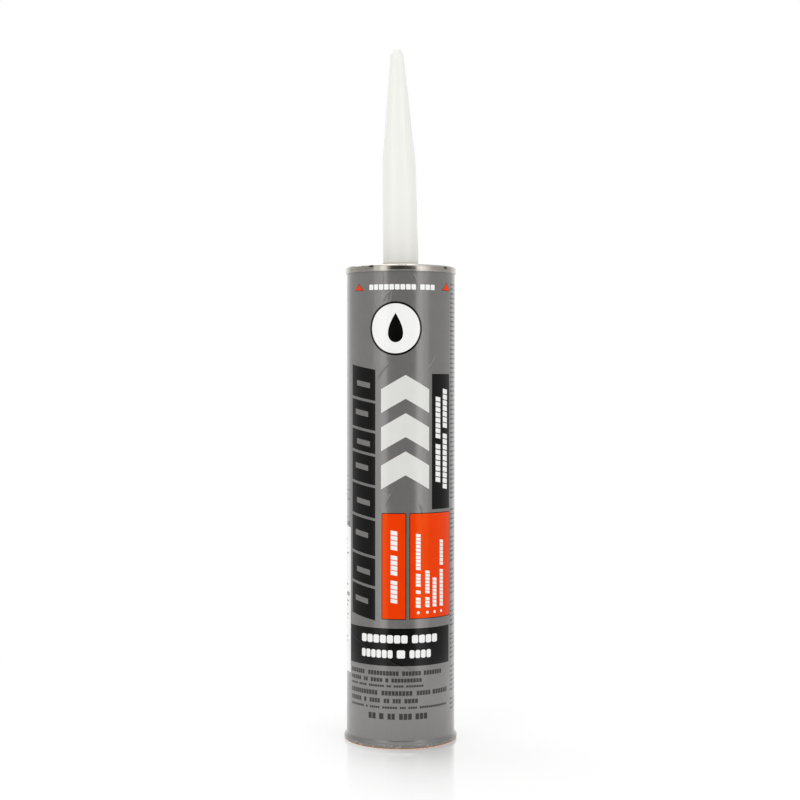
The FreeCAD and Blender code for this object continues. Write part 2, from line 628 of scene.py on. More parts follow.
@dataclass(frozen=True)
class PolishedFloor(Finish):
    """White floor paper that keeps a shadow, under a polish that fades from the tube.

    To gloss it is only a small table, so that the lamps and their dark gap are seen
    below its edge. From below it is clear. Distances are metres from the tube's axis.
    """

    name: str = "floor_white"
    paper: float = 0.95
    seen_paper: float = 0.6
    seen_glow: float = 0.4
    polish: float = 2.9
    fading: float = 27.0
    skew: float = 25.0
    skew_limit: float = 0.009
    shadow_reach: Flat = (0.14, 0.30)
    table_reach: Flat = (0.19, 0.26)

    def lay(self, board: Board, place: Socket) -> None:
        """Lays out the lit paper, the polish over it, the white beyond and the clear back.

        Args:
            board: the material's empty tree.
            place: the point on the surface.
        """
        side, _, _ = board.parts(place)
        away = board.length(place)
        path = board.add("ShaderNodeLightPath").outputs
        seen = path["Is Camera Ray"]
        mirror = board.blend(
            self.mirroring(board, side, away, seen),
            self.lit_paper(board, seen),
            board.add("ShaderNodeBsdfGlossy", {"Color": (*WHITE, 1.0), "Roughness": 0.07}),
        )
        white = board.add("ShaderNodeEmission", {"Strength": 1.0})
        far = board.times(board.remap(away, *self.shadow_reach), seen)
        beyond = board.times(board.remap(away, *self.table_reach), path["Is Glossy Ray"])
        below = board.add("ShaderNodeNewGeometry").outputs["Backfacing"]
        clear = board.add("ShaderNodeBsdfTransparent")
        table = board.blend(board.most(beyond, below), board.blend(far, mirror, white), clear)
        board.end(table.outputs[0], "ShaderNodeOutputMaterial")

    def lit_paper(self, board: Board, seen: Socket) -> bpy.types.Node:
        """The paper's shader, part glow to the camera so that its white stays white.

        Args:
            board: the tree to build in.
            seen: 1 for a ray from the camera and 0 for any other.

        Returns:
            The shader's node.
        """
        tone = board.mix(seen, (self.paper,) * 3, (self.seen_paper,) * 3)
        paper = board.add("ShaderNodeBsdfDiffuse", {"Color": tone})
        glow = board.add("ShaderNodeEmission", {"Strength": board.times(seen, self.seen_glow)})
        return board.add("ShaderNodeAddShader", {0: paper.outputs[0], 1: glow.outputs[0]})

    def mirroring(self, board: Board, side: Socket, away: Socket, seen: Socket) -> Socket:
        """The share of polish: strongest at the tube's foot, and more to its right.

        Args:
            board: the tree to build in.
            side: how far the point is to the tube's right, in metres.
            away: how far it is from the tube's axis, in metres.
            seen: 1 for a ray from the camera and 0 for any other.

        Returns:
            The share, from 0 to 1.
        """
        skew = board.times(board.math("MINIMUM", side, self.skew_limit), self.skew)
        faded = board.times_plus(away, -self.fading, skew)
        near = board.times(board.math("EXPONENT", faded), self.polish)
        fresnel = board.add("ShaderNodeFresnel", {"IOR": 1.6}).outputs[0]
        return board.times(board.times(near, fresnel), seen)


# Sections, and the trees that turn them into pieces


GUARD, GUARD_SHARE = 0.05, 0.1  # the guard points' distance, and at most this share of a bend


def rounded(corners: Sequence[Corner], step: float = 8.0) -> list[Flat]:
    """A section's points, with its bends rounded.

    Args:
        corners: radius, height and bend radius of each corner, in millimetres.
        step: the largest turn from one point of a bend to the next, in degrees.

    Returns:
        The points. A guard point also stands close to both ends of each bend, so that
        the smooth shading of the bend doesn't reach into the straight beside it.
    """
    path: list[Flat] = []
    for i, (radius, height, bend) in enumerate(corners):
        here = Vector((radius, height))
        if not bend:
            path.append((radius, height))
            continue
        back = (Vector(corners[i - 1][:2]) - here).normalized()
        on = (Vector(corners[i + 1][:2]) - here).normalized()
        half = back.angle(on) / 2
        reach = bend / math.tan(half)
        centre = here + (back + on).normalized() * (bend / math.sin(half))
        start, end = here + back * reach, here + on * reach
        turn = math.pi - 2 * half
        steps = max(2, math.ceil(math.degrees(turn) / step))
        side = 1.0 if (start - here).cross(end - here) < 0 else -1.0
        guard = min(GUARD, bend * GUARD_SHARE)
        path.append(tuple(start + back * guard))
        for k in range(steps + 1):
            spoke = start - centre
            spoke.rotate(Matrix.Rotation(side * turn * k / steps, 2))
            path.append(tuple(centre + spoke))
        path.append(tuple(end + on * guard))
    return path


def shifted(path: Sequence[Flat], distance: float) -> list[Flat]:
    """A section's path moved sideways, to the left of its run.

    Args:
        path: the path's points.
        distance: how far they move, in the same unit.

    Returns:
        The moved points.
    """
    points = [Vector(p) for p in path]
    runs = [(b - a).normalized() for a, b in zip(points, points[1:])]
    sides = [Vector((-run.y, run.x)) for run in runs]
    moved = []
    for i, here in enumerate(points):
        before, after = sides[max(i - 1, 0)], sides[min(i, len(sides) - 1)]
        moved.append(tuple(here + (before + after) * (distance / (1 + before.dot(after)))))
    return moved


def sheet_ring(path: Sequence[Flat], thickness: float) -> list[Flat]:
    """The closed section of a sheet that follows a path on its left."""
    ring = list(path) + shifted(path, thickness)[::-1]
    return ring + ring[:1]


def between(table: Sequence[Flat], at: float, outside: float) -> float:
    """Reads a table of places and values at a place between two of its own.

    Args:
        table: places, in rising order, and the value at each.
        at: where to read it.
        outside: the value before the first place and after the last.

    Returns:
        The value there.
    """
    for (a, first), (b, second) in zip(table, table[1:]):
        if a <= at <= b and b > a:
            return first + (second - first) * (at - a) / (b - a)
    return outside


class Tree(Board):
    """Geometry Nodes with named inputs, which end in real geometry that wears a finish."""

    def __init__(self, name: str, **inputs: str) -> None:
        """Starts the tree.

        Args:
            name: the tree's name.
            inputs: each input's name and the kind of its socket. The first is the
                geometry that goes in, and one is the Finish.
        """
        tree = bpy.data.node_groups.new(name, "GeometryNodeTree")
        tree.is_modifier = True
        super().__init__(tree)
        new = tree.interface.new_socket
        self.keys = {
            label: new(label, in_out="INPUT", socket_type=f"NodeSocket{kind}").identifier
            for label, kind in inputs.items()
        }
        new("Result", in_out="OUTPUT", socket_type="NodeSocketGeometry")
        self.given = self.add("NodeGroupInput").outputs

    def dress(self, geometry: Socket) -> None:
        """Ends the tree: makes the geometry real and gives it the finish.

        Args:
            geometry: what the tree has made.
        """
        real = self.add("GeometryNodeRealizeInstances", {"Geometry": geometry})
        inputs = {"Geometry": real.outputs[0], "Material": self.given["Finish"]}
        dressed = self.add("GeometryNodeSetMaterial", inputs)
        self.end(dressed.outputs[0], "NodeGroupOutput")

    def run(self, mesh: bpy.types.Mesh, **values: object) -> bpy.types.Mesh:
        """Runs a mesh through the tree.

        Args:
            mesh: what goes in.
            values: the inputs' names and values.

        Returns:
            The plain mesh that comes out, with its faces turned outwards.
        """
        blank = placed("blank", mesh)
        modifier = blank.modifiers.new("tree", "NODES")
        modifier.node_group = self.tree
        for label, value in values.items():
            modifier[self.keys[label]] = value
        graph = bpy.context.evaluated_depsgraph_get()
        made = bpy.data.meshes.new_from_object(blank.evaluated_get(graph))
        blank.modifiers.clear()
        bpy.data.objects.remove(blank)
        return outward(made)


class TurningTree(Tree):
    """Geometry Nodes that turn a section about the tube's axis into a closed piece.

    The section comes in as the modified object's own points, radius along X and
    height along Z. A grid of Segments by points is wrapped round, each row of it takes
    its radius and height from one point, and the seam and the poles are merged shut.
    """

    merge_distance = 1e-6

    def __init__(self) -> None:
        """Builds the tree once."""
        super().__init__("turned_section", Section="Geometry", Segments="Int", Finish="Material")
        section, segments = self.given["Section"], self.given["Segments"]
        count = self.add("GeometryNodeAttributeDomainSize", {0: section}).outputs[0]
        sides = {"Vertices X": self.plus(segments, 1.0), "Vertices Y": count}
        grid = self.add("GeometryNodeMeshGrid", sides)
        index = self.add("GeometryNodeInputIndex").outputs[0]
        ring = self.math("FLOOR", self.over(self.plus(index, 0.5), count))
        along = self.minus(index, self.times(ring, count))
        turn = self.times(self.over(ring, segments), math.tau)
        radius, _, height = self.parts(self.sampled(section, along))
        x = self.times(radius, self.math("SINE", turn))
        y = self.times(radius, self.times(self.math("COSINE", turn), -1.0))
        inputs = {"Geometry": grid.outputs["Mesh"], "Position": self.point(x, y, height)}
        moved = self.add("GeometryNodeSetPosition", inputs)
        inputs = {"Geometry": moved.outputs[0], "Distance": self.merge_distance}
        merged = self.add("GeometryNodeMergeByDistance", inputs)
        smooth = self.add("GeometryNodeSetShadeSmooth", {"Geometry": merged.outputs[0]})
        self.dress(smooth.outputs[0])

    def sampled(self, section: Socket, along: Socket) -> Socket:
        """The place of the section's point of a given number.

        Args:
            section: the geometry that holds the points.
            along: the point's number.

        Returns:
            The point's place.
        """
        sample = self.add(
            "GeometryNodeSampleIndex",
            {"Geometry": section, "Index": along},
            data_type="FLOAT_VECTOR",
            domain="POINT",
        )
        position = self.add("GeometryNodeInputPosition").outputs[0]
        value = next(s for s in sample.inputs if s.name == "Value" and s.enabled)
        self.tree.links.new(position, value)
        return next(s for s in sample.outputs if s.enabled)


class SpokeTree(Tree):
    """Geometry Nodes that repeat a shape evenly round the tube's axis."""

    def __init__(self) -> None:
        """Builds the tree once."""
        sockets = {"Shape": "Geometry", "Count": "Int", "Start": "Float", "Finish": "Material"}
        super().__init__("spokes", **sockets)
        count = self.given["Count"]
        points = self.add("GeometryNodePoints", {"Count": count})
        index = self.add("GeometryNodeInputIndex").outputs[0]
        turn = self.times(self.over(self.plus(index, self.given["Start"]), count), math.tau)
        rotation = self.add("FunctionNodeEulerToRotation", {0: self.point(0.0, 0.0, turn)})
        inputs = {
            "Points": points.outputs[0],
            "Instance": self.given["Shape"],
            "Rotation": rotation.outputs[0],
        }
        self.dress(self.add("GeometryNodeInstanceOnPoints", inputs).outputs[0])


class Workshop:
    """Runs the trees and hands finished meshes to the bodies that carry them."""

    def __init__(self) -> None:
        """Builds the shared trees."""
        self.turning = TurningTree()
        self.spokes = SpokeTree()

    def turned(
        self, section: Sequence[Flat], finish: bpy.types.Material, segments: int
    ) -> bpy.types.Mesh:
        """A section turned about the tube's axis, as a closed mesh that faces outwards.

        Args:
            section: the section's points, as radius and height in millimetres.
            finish: the material that the piece wears.
            segments: how many sides it has round the axis.

        Returns:
            The turned mesh.
        """
        points = [(r * MM, 0.0, z * MM) for r, z in section]
        mesh = bpy.data.meshes.new("section")
        mesh.from_pydata(points, [(i, i + 1) for i in range(len(points) - 1)], [])
        return self.turning.run(mesh, Segments=segments, Finish=finish)

    def repeated(
        self, shape: bpy.types.Mesh, finish: bpy.types.Material, count: int, start: float
    ) -> bpy.types.Mesh:
        """Copies of a shape round the axis, the first one `start` steps from +X."""
        return self.spokes.run(shape, Count=count, Start=start, Finish=finish)

    def deliver(
        self, mesh: bpy.types.Mesh, name: str, body: Body, nodes: Iterable[str]
    ) -> bpy.types.Object:
        """Makes a piece of a mesh and hangs it on its body.

        Args:
            mesh: the finished mesh, in place.
            name: the piece's name.
            body: the body that carries it.
            nodes: the solids that it stands for.

        Returns:
            The piece.
        """
        mesh.name = name
        piece = placed(name, mesh)
        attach(piece, body.value)
        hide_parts(*nodes)
        log.info("%s: %d faces on %s", name, len(mesh.polygons), body.value)
        return piece


def placed(name: str, data: bpy.types.ID) -> bpy.types.Object:
    """A new object in the scene, at the origin.

    Args:
        name: the object's name.
        data: its mesh, light or camera.

    Returns:
        The object.
    """
    made = bpy.data.objects.new(name, data)
    bpy.context.scene.collection.objects.link(made)
    return made


@contextmanager
def edited(mesh: bpy.types.Mesh) -> Iterator[bmesh.types.BMesh]:
    """Opens a mesh for editing and writes it back at the end.

    Args:
        mesh: the mesh, which is changed.

    Yields:
        The mesh, open.
    """
    work = bmesh.new()
    work.from_mesh(mesh)
    yield work
    work.to_mesh(mesh)
    work.free()


def outward(mesh: bpy.types.Mesh) -> bpy.types.Mesh:
    """Turns every face of a closed mesh outwards.

    Args:
        mesh: the mesh, which is changed.

    Returns:
        The same mesh.
    """
    with edited(mesh) as work:
        bmesh.ops.recalc_face_normals(work, faces=work.faces)
    return mesh


def joined(first: bpy.types.Mesh, second: bpy.types.Mesh) -> bpy.types.Mesh:
    """The first mesh with the second one's faces in it, in the first one's finish.

    Args:
        first: the mesh that is added to.
        second: the mesh whose faces are added.

    Returns:
        The first mesh.
    """
    with edited(first) as work:
        work.from_mesh(second)
    return first


def reshaped(mesh: bpy.types.Mesh, move: Callable[[Vector], Vector]) -> bpy.types.Mesh:
    """Moves each point of a mesh to where a rule puts it.

    Args:
        mesh: the mesh, which is changed.
        move: gives a point's new place from its old one.

    Returns:
        The same mesh.
    """
    for vertex in mesh.vertices:
        vertex.co = move(vertex.co.copy())
    return mesh


# The pieces


@dataclass
class CartridgeTube:
    """The wound paperboard tube with its rolled-out rear lip."""

    bore: float = BORE
    radius: float = 24.6
    top: float = 215.35
    flare_out: float = 1.1
    flare_height: float = 3.1
    lip_height: float = 1.6
    mouth_flare: float = 1.0
    mouth_depth: float = 3.2

    def section(self) -> list[Flat]:
        """The wall's section, from its top edge down the outside and up the bore.

        Returns:
            The section's points.
        """
        lip, start = self.radius + self.flare_out, self.bore + 0.5
        corners = [
            (start, self.top, 0),
            (self.radius, self.top, 0.2),
            (self.radius, self.flare_height, 1.6),
            (lip, self.lip_height, 0.9),
            (lip, 0.0, 0.4),
            (self.bore + self.mouth_flare, 0.0, 0.15),
            (self.bore, self.mouth_depth, 2.5),
            (self.bore, self.top, 0.2),
            (start, self.top, 0),
        ]
        return rounded(corners)

    def build(self, shop: Workshop) -> None:
        """Turns the wall and hangs it on the cartridge."""
        mesh = shop.turned(self.section(), KraftBoard().material(), 256)
        shop.deliver(mesh, "board_tube", Body.CARTRIDGE, ["cartridge_tube"])


@dataclass
class MetalEnd:
    """The tinplate end: its hem, the rim rolled over the board, panel and boss."""

    thickness: float = 0.25
    hem_radius: float = 24.86
    rim_top: float = 215.9
    rim_radius: float = RIM_RADIUS
    rim_width: float = 0.9
    rim_height: float = 3.1
    inner_wall: float = 23.0
    panel: float = 211.7
    boss_foot: float = 16.2
    boss_radius: float = 14.0
    boss_top: float = 214.3
    hole: float = 7.06
    hem: float = 0.42
    waist: float = 0.08
    dent: float = 0.16

    def path(self) -> list[Flat]:
        """The outer face, from the hem over the rim and in to the hole.

        Returns:
            The path's points.
        """
        rim, top, foot = self.rim_radius, self.rim_top, self.rim_top - self.rim_height
        waist = rim - self.waist
        return rounded(
            [
                (self.hem_radius, foot, 0),
                (rim, foot, 0.2),
                (rim, foot + self.hem, 0.2),
                (waist, foot + self.hem + 2 * self.waist, 0.12),
                (waist, top, 1.1),
                (self.inner_wall, top, 0.5),
                (self.inner_wall, self.panel, 0.7),
                (self.boss_foot, self.panel, 0.8),
                (self.boss_radius, self.boss_top, 0.8),
                (self.hole, self.boss_top, 0),
            ]
        )

    def dented(self, point: Vector) -> Vector:
        """A point of the rim, pushed in where the rim was nicked in handling.

        Args:
            point: the point, in metres.

        Returns:
            The point's new place.
        """
        angle = math.degrees(math.atan2(point.x, -point.y))
        radius = math.hypot(point.x, point.y)
        if radius < (self.rim_radius - self.rim_width) * MM:
            return point
        for nick in NICKS:
            around = math.radians(angle - nick.angle) * self.rim_radius
            away = math.hypot(around, (point.z / MM - nick.height) * 2.0)
            if away < nick.reach:
                push = self.dent * (0.5 + 0.5 * math.cos(math.pi * away / nick.reach))
                scale = (radius - push * MM) / radius
                point.x *= scale
                point.y *= scale
        return point

    def build(self, shop: Workshop) -> None:
        """Turns the sheet, nicks its rim and hangs it on the cartridge.

        Args:
            shop: what makes meshes and hangs them on their bodies.
        """
        section = sheet_ring(self.path(), self.thickness)
        mesh = shop.turned(section, RolledTin().material(), 360)
        reshaped(mesh, self.dented)
        shop.deliver(mesh, "tin_end", Body.CARTRIDGE, ["metal_end"])


@dataclass
class Nozzle:
    """The moulded nozzle, whose long spout leans a little to the left."""

    inlet: float = 212.75
    flange_radius: float = 13.0
    flange_top: float = 214.05
    neck: float = 7.0
    seat: float = 214.35
    collar: float = 7.85
    neck_top: float = 217.8
    skirt: float = 8.18
    shoulder: float = 263.9
    shoulder_radius: float = 7.64
    tip_radius: float = 3.1
    tip_wall: float = 1.4
    tip_chamfer: float = 2.6
    tip_flat: float = 1.7
    tip: float = 315.9
    bore: float = 5.72
    closure: float = 2.8
    lean: float = 1.1
    pivot: float = 214.175
    parting: float = 0.045
    parting_width: float = 0.2

    def section(self) -> list[Flat]:
        """The wall's section: up the bore, round the closed tip and down the outside.

        Returns:
            The section's points.
        """
        corners = [
            (0.0, self.tip - self.closure, 0),
            (self.tip_radius - self.tip_wall, self.tip - self.closure, 0.5),
            (self.bore, self.shoulder, 40.0),
            (self.bore, self.inlet, 0.3),
            (self.flange_radius, self.inlet, 0.25),
            (self.flange_radius, self.flange_top, 0.25),
            (self.neck, self.flange_top, 0.12),
            (self.neck, self.seat, 0.1),
            (self.collar, self.seat, 0.25),
            (self.collar, self.neck_top, 0.08),
            (self.skirt, self.neck_top, 0.2),
            (self.shoulder_radius, self.shoulder, 70.0),
            (self.tip_radius, self.tip - self.tip_chamfer, 1.2),
            (self.tip_flat, self.tip, 0.6),
            (0.0, self.tip, 0),
        ]
        return rounded(corners)

    def leaned(self, point: Vector) -> Vector:
        """A point of the spout, tipped about the tinplate's hole, with the mould's line.

        Args:
            point: the point, in metres.

        Returns:
            The point's new place.
        """
        radius = math.hypot(point.x, point.y)
        if point.z > (self.neck_top + 0.5) * MM and radius > self.bore * MM:
            off = abs(abs(math.atan2(point.x, -point.y)) - math.pi / 2) * radius
            if off < self.parting_width / 2 * MM:
                point.x *= 1 + self.parting * MM / radius
        if point.z > (self.flange_top + 0.05) * MM:
            centre = Vector((0.0, 0.0, self.pivot * MM))
            turn = Matrix.Rotation(math.radians(-self.lean), 3, "Y")
            return centre + turn @ (point - centre)
        return point

    def build(self, shop: Workshop) -> None:
        """Turns the nozzle, leans its spout and hangs it on the cartridge.

        Args:
            shop: what makes meshes and hangs them on their bodies.
        """
        # The foot's colour is warmer in tone and a little lighter than the rest; the lightness is
        # painted light against the shade from the rim.
        colours = (0.865, 0.865, 0.822), (0.885, 0.878, 0.838)
        plastic = MouldedPlastic("nozzle_plastic", *colours, foot=215.0, clear=237.0)
        mesh = shop.turned(self.section(), plastic.material(), 180)
        reshaped(mesh, self.leaned)
        shop.deliver(mesh, "moulded_nozzle", Body.CARTRIDGE, ["nozzle"])


@dataclass
class Sealant:
    """The filling, from the plunger's crown up to the tin end."""

    radius: float = 23.3
    top: float = 211.4
    foot: float = CROWN + 0.05
    travel: float = 171.0

    def build(self, shop: Workshop) -> None:
        """Turns the filling and hangs it on the cartridge, on a mesh of its own.

        Args:
            shop: what makes meshes and hangs them on their bodies.
        """
        section = rounded(
            [
                (0.0, self.foot - DISH_DEPTH, 0),
                (DISH_RADIUS, self.foot - DISH_DEPTH, 0.8),
                (DISH_RADIUS + DISH_SLOPE, self.foot, 0.8),
                (self.radius, self.foot, 0.3),
                (self.radius, self.top, 0.3),
                (0.0, self.top, 0),
            ]
        )
        mesh = shop.turned(section, SealantPaste().material(), 128)
        piece = shop.deliver(mesh, "sealant_fill", Body.CARTRIDGE, ["sealant"])
        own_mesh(piece)


@dataclass
class Plunger:
    """The moulded plunger: a thin cup with two wipers, webs and moulding marks."""

    crown: float = CROWN
    crown_ease: float = 1.1
    length: float = 25.0
    wall: float = 1.5
    side: float = 22.79
    wiper: float = 0.5
    wiper_height: float = 2.2
    recess: float = 5.8
    recess_depth: float = 0.15
    gate: float = 1.6
    gate_depth: float = 0.5
    webs: int = 8
    web_thickness: float = 1.0
    web_reach: float = 4.6
    web_ease: float = 0.12

    @property
    def foot(self) -> float:
        """The height of the cup's foot."""
        return self.crown - self.length

    def section(self) -> list[Flat]:
        """The cup's section, over the crown, down the wiped side and back inside.

        Returns:
            The section's points.
        """
        foot, dish, slope = self.foot, self.crown - DISH_DEPTH, DISH_RADIUS + DISH_SLOPE
        half, edge = self.wiper_height / 2, self.side + self.wiper
        first, second = self.crown - self.crown_ease - half, foot + half
        inside, roof, ceiling = self.side - self.wall, self.crown - self.wall, dish - self.wall
        corners = [
            (0.0, dish, 0),
            (DISH_RADIUS, dish, 0.9),
            (slope, self.crown, 0.9),
            (self.side, self.crown, 1.0),
            (self.side, first + half, 0.05),
            (edge, first, 0.12),
            (self.side, first - half, 0.3),
            (self.side, second + half, 0.3),
            (edge, second, 0.12),
            (self.side, foot, 0.2),
            (inside, foot, 0.3),
            (inside, roof, 0.8),
            (slope + 0.5, roof, 0.5),
            (DISH_RADIUS + 0.35, ceiling, 0.5),
            (self.recess + 0.2, ceiling, 0.1),
            (self.recess, ceiling - self.recess_depth, 0.1),
            (self.gate + 0.4, ceiling - self.recess_depth, 0.2),
            (self.gate, ceiling - self.gate_depth, 0.3),
            (0.0, ceiling - self.gate_depth, 0),
        ]
        return rounded(corners)

    def web(self) -> bpy.types.Mesh:
        """One web, in the corner between the cup's side and its ceiling, on +X.

        Returns:
            The web's mesh.
        """
        wall, roof = (self.side - self.wall / 2) * MM, (self.crown - self.wall / 2) * MM
        reach, half = self.web_reach * MM, self.web_thickness / 2 * MM
        inner, lower = wall - reach * 0.9, roof - reach * 0.25
        outline = [(wall, roof), (wall - reach, roof), (inner, lower), (wall, roof - reach)]
        points = [(x, y, z) for y in (-half, half) for x, z in outline]
        count = len(outline)
        sides = [(i, (i + 1) % count, (i + 1) % count + count, i + count) for i in range(count)]
        mesh = bpy.data.meshes.new("web")
        mesh.from_pydata(points, [], [tuple(range(count)), tuple(range(count, 2 * count)), *sides])
        ease = {"offset": self.web_ease * MM, "segments": 2, "affect": "EDGES"}
        with edited(mesh) as work:
            bmesh.ops.recalc_face_normals(work, faces=work.faces)
            bmesh.ops.bevel(work, geom=work.edges[:], **ease)
        return mesh

    def build(self, shop: Workshop) -> None:
        """Turns the cup, sets its webs in and hangs both on the plunger.

        Args:
            shop: what makes meshes and hangs them on their bodies.
        """
        colours = (0.78, 0.78, 0.75), (0.74, 0.74, 0.71)
        finish = MouldedPlastic("plunger_plastic", *colours, self.foot, self.crown, 0.45, glow=0.2)
        plastic = finish.material()
        cup = shop.turned(self.section(), plastic, 256)
        webs = shop.repeated(self.web(), plastic, self.webs, 0.5)
        mesh = joined(cup, webs)
        shop.deliver(mesh, "wiping_plunger", Body.PLUNGER, ["plunger"])


# The label's rows of small marks, from the top down: the foot, the height and a letter's
# width of each, and then where each of its words starts and ends
SMALL_ROWS = (
    (32.6, 2.0, 1.45, -27.2, -17.6, -15.6, -0.8, 0.6, 9.4, 10.6, 20.6),
    (29.6, 1.8, 1.45, -27.2, -19.6, -18.2, -15.6, -14.2, -8.2, -7.0, -5.4, -4.2, 9.8),
    (27.4, 1.0, 1.1, -27.2, -22.0, -21.0, -16.4, -15.2, -7.4, -6.4, -4.2, -3.2, 1.4, 2.4, 10.6),
    (23.7, 2.1, 1.55, -27.2, -10.6, -8.8, 5.4, 7.2, 14.2, 15.2, 24.8),
    (20.3, 2.0, 1.45, -27.2, -19.6, -18.0, -16.4, -14.8, -9.4, -7.8, -5.0, -3.6, 0.2, 1.6, 8.0),
    (17.8, 1.0, 1.1, -27.2, -18.0, -16.8, -15.8, -14.6, -9.6, -8.4, -1.4)
    + (-0.4, 2.4, 3.4, 7.6, 8.6, 24.4),
    (13.0, 2.7, 1.9, -15.4, -11.4, -10.0, -7.6, -6.0, -2.4, -0.8, 5.2, 6.6, 12.6),
)


class Artwork:
    """The label's print: flat shapes in inks, on the sheet unrolled.

    A place on it is the distance round the tube from the middle of the front, and the
    height above the tube's foot, in millimetres. Later shapes lie over earlier ones.
    """

    def __init__(self) -> None:
        """Starts with a bare silver sheet."""
        self.shapes: list[tuple[Ink, list[Flat]]] = []

    def shape(self, ink: Ink, outline: Sequence[Flat]) -> None:
        """Adds a shape by its outline."""
        self.shapes.append((ink, list(outline)))

    def bar(
        self, ink: Ink, left: float, low: float, right: float, high: float, ease: float = 0.0
    ) -> None:
        """Adds an upright bar, with its corners cut by `ease`.

        Args:
            ink: the bar's ink.
            left: its left edge.
            low: its foot.
            right: its right edge.
            high: its top.
            ease: how far its corners are cut.
        """
        if not ease:
            self.shape(ink, [(left, low), (right, low), (right, high), (left, high)])
            return
        outline = [
            (left + ease, low),
            (right - ease, low),
            (right, low + ease),
            (right, high - ease),
            (right - ease, high),
            (left + ease, high),
            (left, high - ease),
            (left, low + ease),
        ]
        self.shape(ink, outline)

    def lined(self, outline: Sequence[Flat], line: float = 0.34) -> None:
        """Adds an orange field with a hairline of black just inside its edge.

        Args:
            outline: the field's corners.
            line: the hairline's width.
        """
        self.shape(Ink.BLACK, outline)
        closed = [outline[-1], *outline, outline[0]]
        self.shape(Ink.ORANGE, shifted(closed, line)[1:-1])

    def round(self, ink: Ink, centre: Flat, radius: float, count: int = 72) -> None:
        """Adds a disc.

        Args:
            ink: the disc's ink.
            centre: its middle.
            radius: its radius.
            count: how many sides it has.
        """
        turns = [math.tau * i / count for i in range(count)]
        s, z = centre
        self.shape(ink, [(s + radius * math.cos(t), z + radius * math.sin(t)) for t in turns])

    def words(
        self,
        ink: Ink,
        low: float,
        high: float,
        spans: Sequence[Flat],
        letter: float,
        ease: float = 0.0,
    ) -> None:
        """Adds blocks, side by side, that stand where a line's letters would.

        Args:
            ink: the line's ink.
            low: foot of the line.
            high: top of the line.
            spans: where each word starts and ends.
            letter: about how wide a letter is.
            ease: how far the blocks' corners are cut.
        """
        for start, end in spans:
            for left, right in self.blocks_in(start, end, letter):
                self.bar(ink, left, low, right, high, ease)

    def climbing(
        self, left: float, right: float, spans: Sequence[Flat], letter: float, slant: float = 0.5
    ) -> None:
        """Adds slanted white blocks that climb the tube, as `words` does along it.

        Args:
            left: the line's left side.
            right: the line's right side.
            spans: where each word starts and ends, going up.
            letter: about how wide a letter is.
            slant: how far the blocks' left sides are lifted.
        """
        for start, end in spans:
            for low, high in self.blocks_in(start, end - slant, letter):
                foot = [(left, low + slant), (right, low)]
                self.shape(Ink.WHITE, [*foot, (right, high), (left, high + slant)])

    def blocks_in(self, start: float, end: float, letter: float) -> list[Flat]:
        """Splits a word into even blocks with narrow gaps.

        Args:
            start: where the word starts.
            end: where the word ends.
            letter: about how wide a letter is.

        Returns:
            Where each block starts and ends.
        """
        count = max(1, round((end - start) / letter))
        pitch = (end - start) / count
        half = min(0.4, letter * 0.16) / 2
        return [(start + pitch * i + half, start + pitch * (i + 1) - half) for i in range(count)]

    def lines(
        self, across: Flat, low: float, high: float, pitch: float, size: float, seed: int
    ) -> None:
        """Fills a field with rows of short dashes of small print.

        An even seed leaves a row open now and then, as between paragraphs.

        Args:
            across: where the rows start and where the longest rows end.
            low: foot of the field.
            high: top of the field.
            pitch: height from one row to the next.
            size: height of a dash.
            seed: makes the dashes' lengths the same each time.
        """
        left, right = across
        paragraph, space, shortest, spread = 7, 0.75, 1.5, 3.6
        row, level, state = 0, high - size, seed
        while level > low:
            at, place = left, row % paragraph
            state, share = self.draw(state)
            short = 0.45 if place == paragraph - 1 else 0.18
            end = right - (right - left) * short * share
            while place != paragraph - 2 or seed % 2:
                state, share = self.draw(state)
                length = shortest + spread * share
                if at + length > end:
                    break
                self.bar(Ink.SMALL_PRINT, at, level, at + length, level + size)
                at += length + space
            row += 1
            level -= pitch

    def draw(self, state: int) -> tuple[int, float]:
        """The next state of a plain random series, and its share of the range.

        Args:
            state: the state before it.

        Returns:
            The new state, and its share of the range, from 0 to 1.
        """
        period = 2**31
        state = (state * 1103515245 + 12345) % period
        return state, state / period

    def emblem(self) -> None:
        """A plain white disc with a black ring and one black drop, over the middle."""
        s, z = centre = (-2.4, 187.3)
        self.round(Ink.BLACK, centre, 12.0)
        self.round(Ink.WHITE, centre, 11.1)
        width, above, length, count = 4.6, 7.0, 13.2, 40
        drop = []
        for turn in [math.tau * i / count for i in range(count)]:
            side = width * math.sin(turn) * math.sin(turn / 2) ** 1.2
            drop.append((s - side, z + above - length * (0.5 - 0.5 * math.cos(turn))))
        self.shape(Ink.BLACK, drop)

    def blocks(self) -> None:
        """The column of heavy slanted blocks up the left of the front, each slotted."""
        left, right, slant, gap, half = -26.7, -11.8, 2.5, 0.6, 1.2
        cuts = [56.3, 71.5, 85.0, 101.9, 116.6, 130.6, 141.0, 154.4, 169.5]
        slots = ((-23.8, -15.6), (-22.8, -14.6))

        def tilted(ink: Ink, start: float, end: float, low: float, high: float) -> None:
            """Adds a block that is lifted by the column's slant.

            Args:
                ink: the block's ink.
                start: its left side.
                end: its right side.
                low: its foot, before it is lifted.
                high: its top, before it is lifted.
            """
            corners = [(start, low), (end, low), (end, high), (start, high)]
            lift = slant / (right - left)
            self.shape(ink, [(s, z + lift * (right - s)) for s, z in corners])

        for i, (low, high) in enumerate(zip(cuts, cuts[1:])):
            middle = (low + high) / 2 + gap * (-1) ** i
            tilted(Ink.BLACK, left, right, low + gap, high - gap)
            tilted(Ink.SILVER, *slots[i % 2], middle - half, middle + half)

